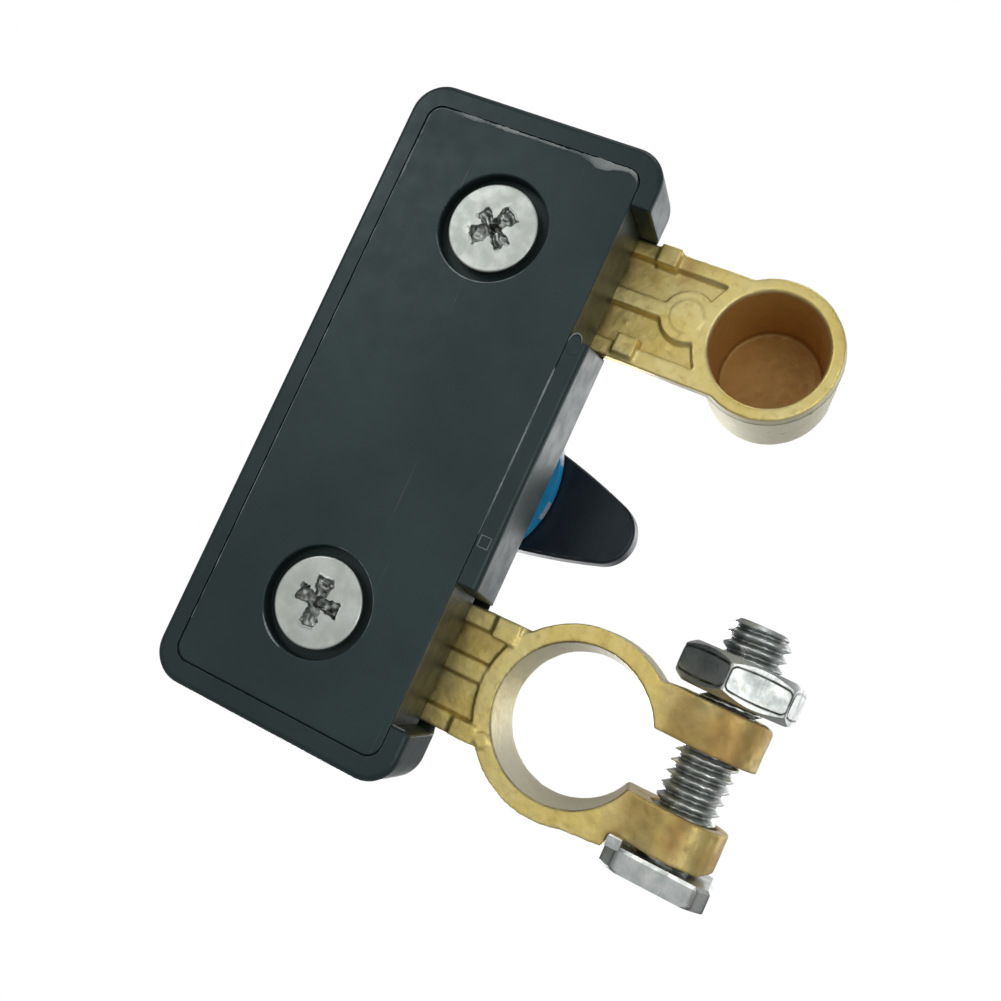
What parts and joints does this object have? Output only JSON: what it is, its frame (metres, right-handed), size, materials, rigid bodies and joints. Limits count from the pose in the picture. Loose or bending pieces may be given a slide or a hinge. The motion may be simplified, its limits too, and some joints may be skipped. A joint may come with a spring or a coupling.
{
  "type": "battery switch",
  "caption": "Top-post rotary battery switch: case with lever and dial, split-ring battery clamp with bolt, and hollow dummy post for the cable.",
  "frame": {"origin": "centre of the housing's outline, on the plane of its back rim and cover", "axes": "+Z from the back towards the dial and lever, along the lever's axis; +Y out towards the two terminals; +X along the housing towards the dummy post"},
  "size_m": [0.0816, 0.0727, 0.0329],
  "materials": {
    "housing_plastic": "satin moulded",
    "cover_plastic": "satin moulded, finely scratched",
    "brass_casting": "as cast, tarnished in the recesses",
    "zinc_steel": "zinc plated",
    "screw_steel": "zinc plated, worn recess",
    "turned_brass": "turned",
    "copper": "rolled copper",
    "silver": "silver contact",
    "nylon": "natural nylon",
    "spring_steel": "drawn wire",
    "rubber": "matt",
    "dial_plastic": "satin blue",
    "lever_plastic": "satin moulded"
  },
  "bodies": {
    "housing_body": {"housing": "housing_plastic", "back_cover": "cover_plastic", "cover_screws": "screw_steel", "threaded_inserts": "turned_brass", "post_terminal": "brass_casting", "clamp_terminal": "brass_casting", "fixed_contacts": "silver", "thrust_washer": "nylon", "detent_spring_right": "spring_steel", "detent_spring_left": "spring_steel", "dial": "dial_plastic"},
    "rotor": {"spindle": "nylon", "spindle_seal": "rubber", "retaining_clip": "spring_steel", "spring_seat": "nylon", "contact_spring": "spring_steel", "lever": "lever_plastic", "lever_screw": "screw_steel", "lever_cap": "lever_plastic"},
    "contact_bridge": {"contact_bar": "copper", "contact_tips": "silver"},
    "ball_right": {"detent_ball_right": "spring_steel"},
    "ball_left": {"detent_ball_left": "spring_steel"},
    "nut": {"clamp_nut": "zinc_steel"},
    "bolt": {"clamp_bolt": "zinc_steel"}
  },
  "joints": [
    {"name": "lever_turn", "type": "hinge", "parent": "housing_body", "child": "rotor", "pos_m": [0, 0, 0.021], "axis": [0, 0, -1], "range_deg": [0, 90]},
    {"name": "contact_press", "type": "slide", "parent": "rotor", "child": "contact_bridge", "axis": [0, 0, -1], "range_m": [0, 0.0008], "stiffness_N_per_m": 200, "springref_m": -0.0002, "deforming": ["contact_spring"]},
    {"name": "detent_right", "type": "slide", "parent": "housing_body", "child": "ball_right", "axis": [-1, 0, 0], "range_m": [0, 0.0005], "deforming": ["detent_spring_right"]},
    {"name": "detent_left", "type": "slide", "parent": "housing_body", "child": "ball_left", "axis": [1, 0, 0], "range_m": [0, 0.0005], "deforming": ["detent_spring_left"]},
    {"name": "nut_turn", "type": "hinge", "parent": "housing_body", "child": "nut", "pos_m": [-0.01215, 0.04785, 0.0145], "axis": [-1, 0, 0], "range_deg": [-1149, 128]},
    {"name": "bolt_slide", "type": "slide", "parent": "housing_body", "child": "bolt", "axis": [1, 0, 0], "range_m": [-0.0045, 0.0005]}
  ],
  "couplings": [
    {"joint": "nut_turn", "follows": "bolt_slide", "rad_per_m": 4452.7}
  ]
}
